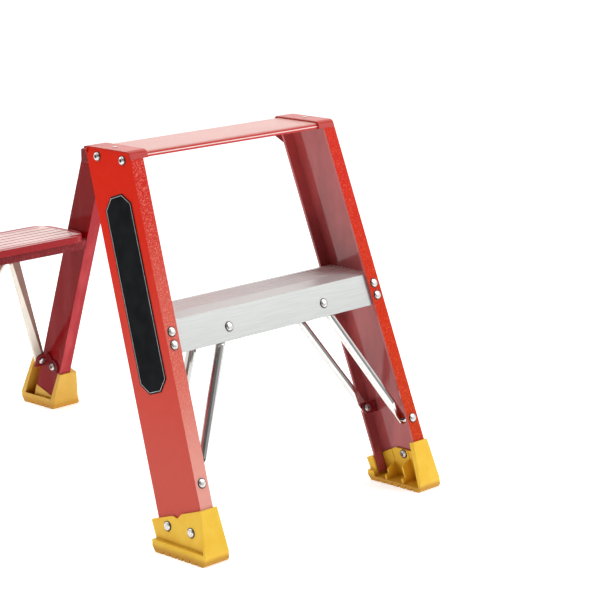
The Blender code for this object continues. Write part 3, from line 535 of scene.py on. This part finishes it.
def dress_frame():
    """Every CAD node gets its finish."""
    top = CAD_BOX[1].z
    # Both rails share one enamel; the left rail's paler, salmon flanges and glints are painted reflection, so the
    # two rails are differently lit copies.
    dress(rail_finish("enamel_rail_left_painted_reflection", OUTWARD_LEFT, (0.86, 0.38, 0.32), (0.72, 0.13, 0.095),
                      (0.94, 0.36, 0.28)), "front_rail_left")
    dress(rail_finish("enamel_rail_right", OUTWARD_RIGHT, (0.60, 0.040, 0.008), (0.64, 0.024, 0.004),
                      (0.90, 0.15, 0.05)), "front_rail_right")
    dress(tread_finish("enamel_top_tread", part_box("top_tread")[1].z), "top_tread")
    dress(cap_finish("enamel_cap", top), "top_cap")
    dress(aluminium_finish("drawn_aluminium"), "front_step")
    dress(steel_finish("polished_brace"), "front_brace", "brace_spacer")
    dress(dark_red_finish("enamel_dark"), "brace_clevis", "rear_skirt", "rear_bracket", "link_")
    dress(steel_finish("hinge_steel", 0.28, (0.55, 0.55, 0.54)), "hinge_pin")
    dress(fastener_finish("plated_fastener"), *[n for n in NODES if "rivet" in n or "bolt" in n])
    dress(foot_finish("moulded_yellow", (0.94, 0.56, 0.036), (0.97, 0.62, 0.056)), "front_foot")
    # Painted shade: the rear feet get a darker copy of the front feet's yellow plastic.
    dress(foot_finish("moulded_yellow_painted_shade", (0.70, 0.40, 0.050), (0.76, 0.46, 0.070)), "rear_foot")
    dress(rear_rail_finish("enamel_rear_rail"), "rear_rail", "hinge_plate", "hinge_tube")
    dress(rear_tread_finish("enamel_rear_tread", *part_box("rear_tread")), "rear_tread")
    dress(bar_finish("polished_bar", *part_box("rear_brace_right")), "rear_brace")
    dress(label_finish("label_black"), "side_label")


def add_trim():
    washers()
    top_screws(fastener_finish("screw_steel"))
    line = plain_finish("label_line", (0.42, 0.43, 0.44), (0.60, 0.61, 0.62), 0.4)
    border = outline("label_border", "side_label", OUTWARD_LEFT, LABEL_LINE_INSET, LABEL_LINE_RADIUS)
    add_piece("label_border", border, line, "front_frame")


def add_area_light(name, place, target, size, power, colour=(1, 1, 1)):
    light = bpy.data.lights.new(name, "AREA")
    light.shape = "RECTANGLE"
    light.size, light.size_y = size
    light.energy = power
    light.color = colour
    lamp = bpy.data.objects.new(name, light)
    bpy.context.scene.collection.objects.link(lamp)
    lamp.location = place
    lamp.rotation_euler = (Vector(target) - Vector(place)).to_track_quat("-Z", "Y").to_euler()


def light_world():
    """A white studio, darker on the near side, so polished steel has something dark to mirror."""
    world = bpy.data.worlds.new("studio")
    bpy.context.scene.world = world
    world.use_nodes = True
    tree = world.node_tree
    back = tree.nodes["Background"]
    path = tree.nodes.new("ShaderNodeLightPath")
    where = tree.nodes.new("ShaderNodeTexCoord")
    dot = tree.nodes.new("ShaderNodeVectorMath")
    dot.operation = "DOT_PRODUCT"
    dot.inputs[1].default_value = WORLD_NEAR_SIDE
    tree.links.new(where.outputs["Generated"], dot.inputs[0])
    shade = tree.nodes.new("ShaderNodeMapRange")
    shade.inputs["From Min"].default_value = -0.05
    shade.inputs["From Max"].default_value = 0.70
    shade.inputs["To Min"].default_value = WORLD_LIGHT
    shade.inputs["To Max"].default_value = WORLD_SHADE
    tree.links.new(dot.outputs["Value"], shade.inputs["Value"])
    seen = tree.nodes.new("ShaderNodeMix")
    tree.links.new(path.outputs["Is Camera Ray"], seen.inputs[0])
    tree.links.new(shade.outputs[0], seen.inputs[2])
    seen.inputs[3].default_value = 1.0
    tree.links.new(seen.outputs[0], back.inputs["Strength"])
    back.inputs["Color"].default_value = (1, 1, 1, 1)


def add_floor():
    mesh = bpy.data.meshes.new("floor")
    corners = [(-FLOOR_HALF, -FLOOR_HALF), (FLOOR_HALF, -FLOOR_HALF), (FLOOR_HALF, FLOOR_HALF),
               (-FLOOR_HALF, FLOOR_HALF)]
    mesh.from_pydata([(x, y, CAD_BOX[0].z - FLOOR_DROP) for x, y in corners], [], [(0, 1, 2, 3)])
    floor = bpy.data.objects.new("floor", mesh)
    bpy.context.scene.collection.objects.link(floor)
    item = Finish("floor_white", 0.75, specular=0.2)
    item.colour(item.mix(item.noise(3, 2.0), (0.93, 0.93, 0.93), (0.95, 0.95, 0.95)))
    item.shader.inputs["Emission Color"].default_value = (1, 1, 1, 1)
    item.shader.inputs["Emission Strength"].default_value = FLOOR_GLOW
    floor.data.materials.append(item.material)


def add_camera():
    data = bpy.data.cameras.new("camera")
    data.lens = CAMERA_LENS
    data.sensor_width = 36
    camera = bpy.data.objects.new("camera", data)
    bpy.context.scene.collection.objects.link(camera)
    yaw, pitch = CAMERA_YAW, CAMERA_PITCH
    ahead = Vector((math.sin(yaw) * math.cos(pitch), math.cos(yaw) * math.cos(pitch), -math.sin(pitch)))
    right = Vector((math.cos(yaw), -math.sin(yaw), 0))
    up = right.cross(ahead)
    turn = Matrix.Rotation(-CAMERA_ROLL, 3, ahead)
    right, up = turn @ right, turn @ up
    camera.matrix_world = Matrix.Translation(CAMERA_PLACE) @ Matrix((right, up,
                                                                     -ahead)).transposed().to_4x4()
    bpy.context.scene.camera = camera


add_camera()
dress_frame()
add_trim()
add_floor()
light_world()
add_area_light("key", (1.9, -2.2, 1.9), (0, -0.1, 0.3), (1.6, 1.6), 30)
add_area_light("overhead", (0.0, 0.2, 2.6), (0, 0, 0.3), (2.4, 2.4), 22)
add_area_light("back", (-0.5, 2.6, 1.8), (0, 0, 0.3), (2.2, 1.4), 14)

view = bpy.context.scene.view_settings
view.view_transform = "Standard"
view.look = "None"
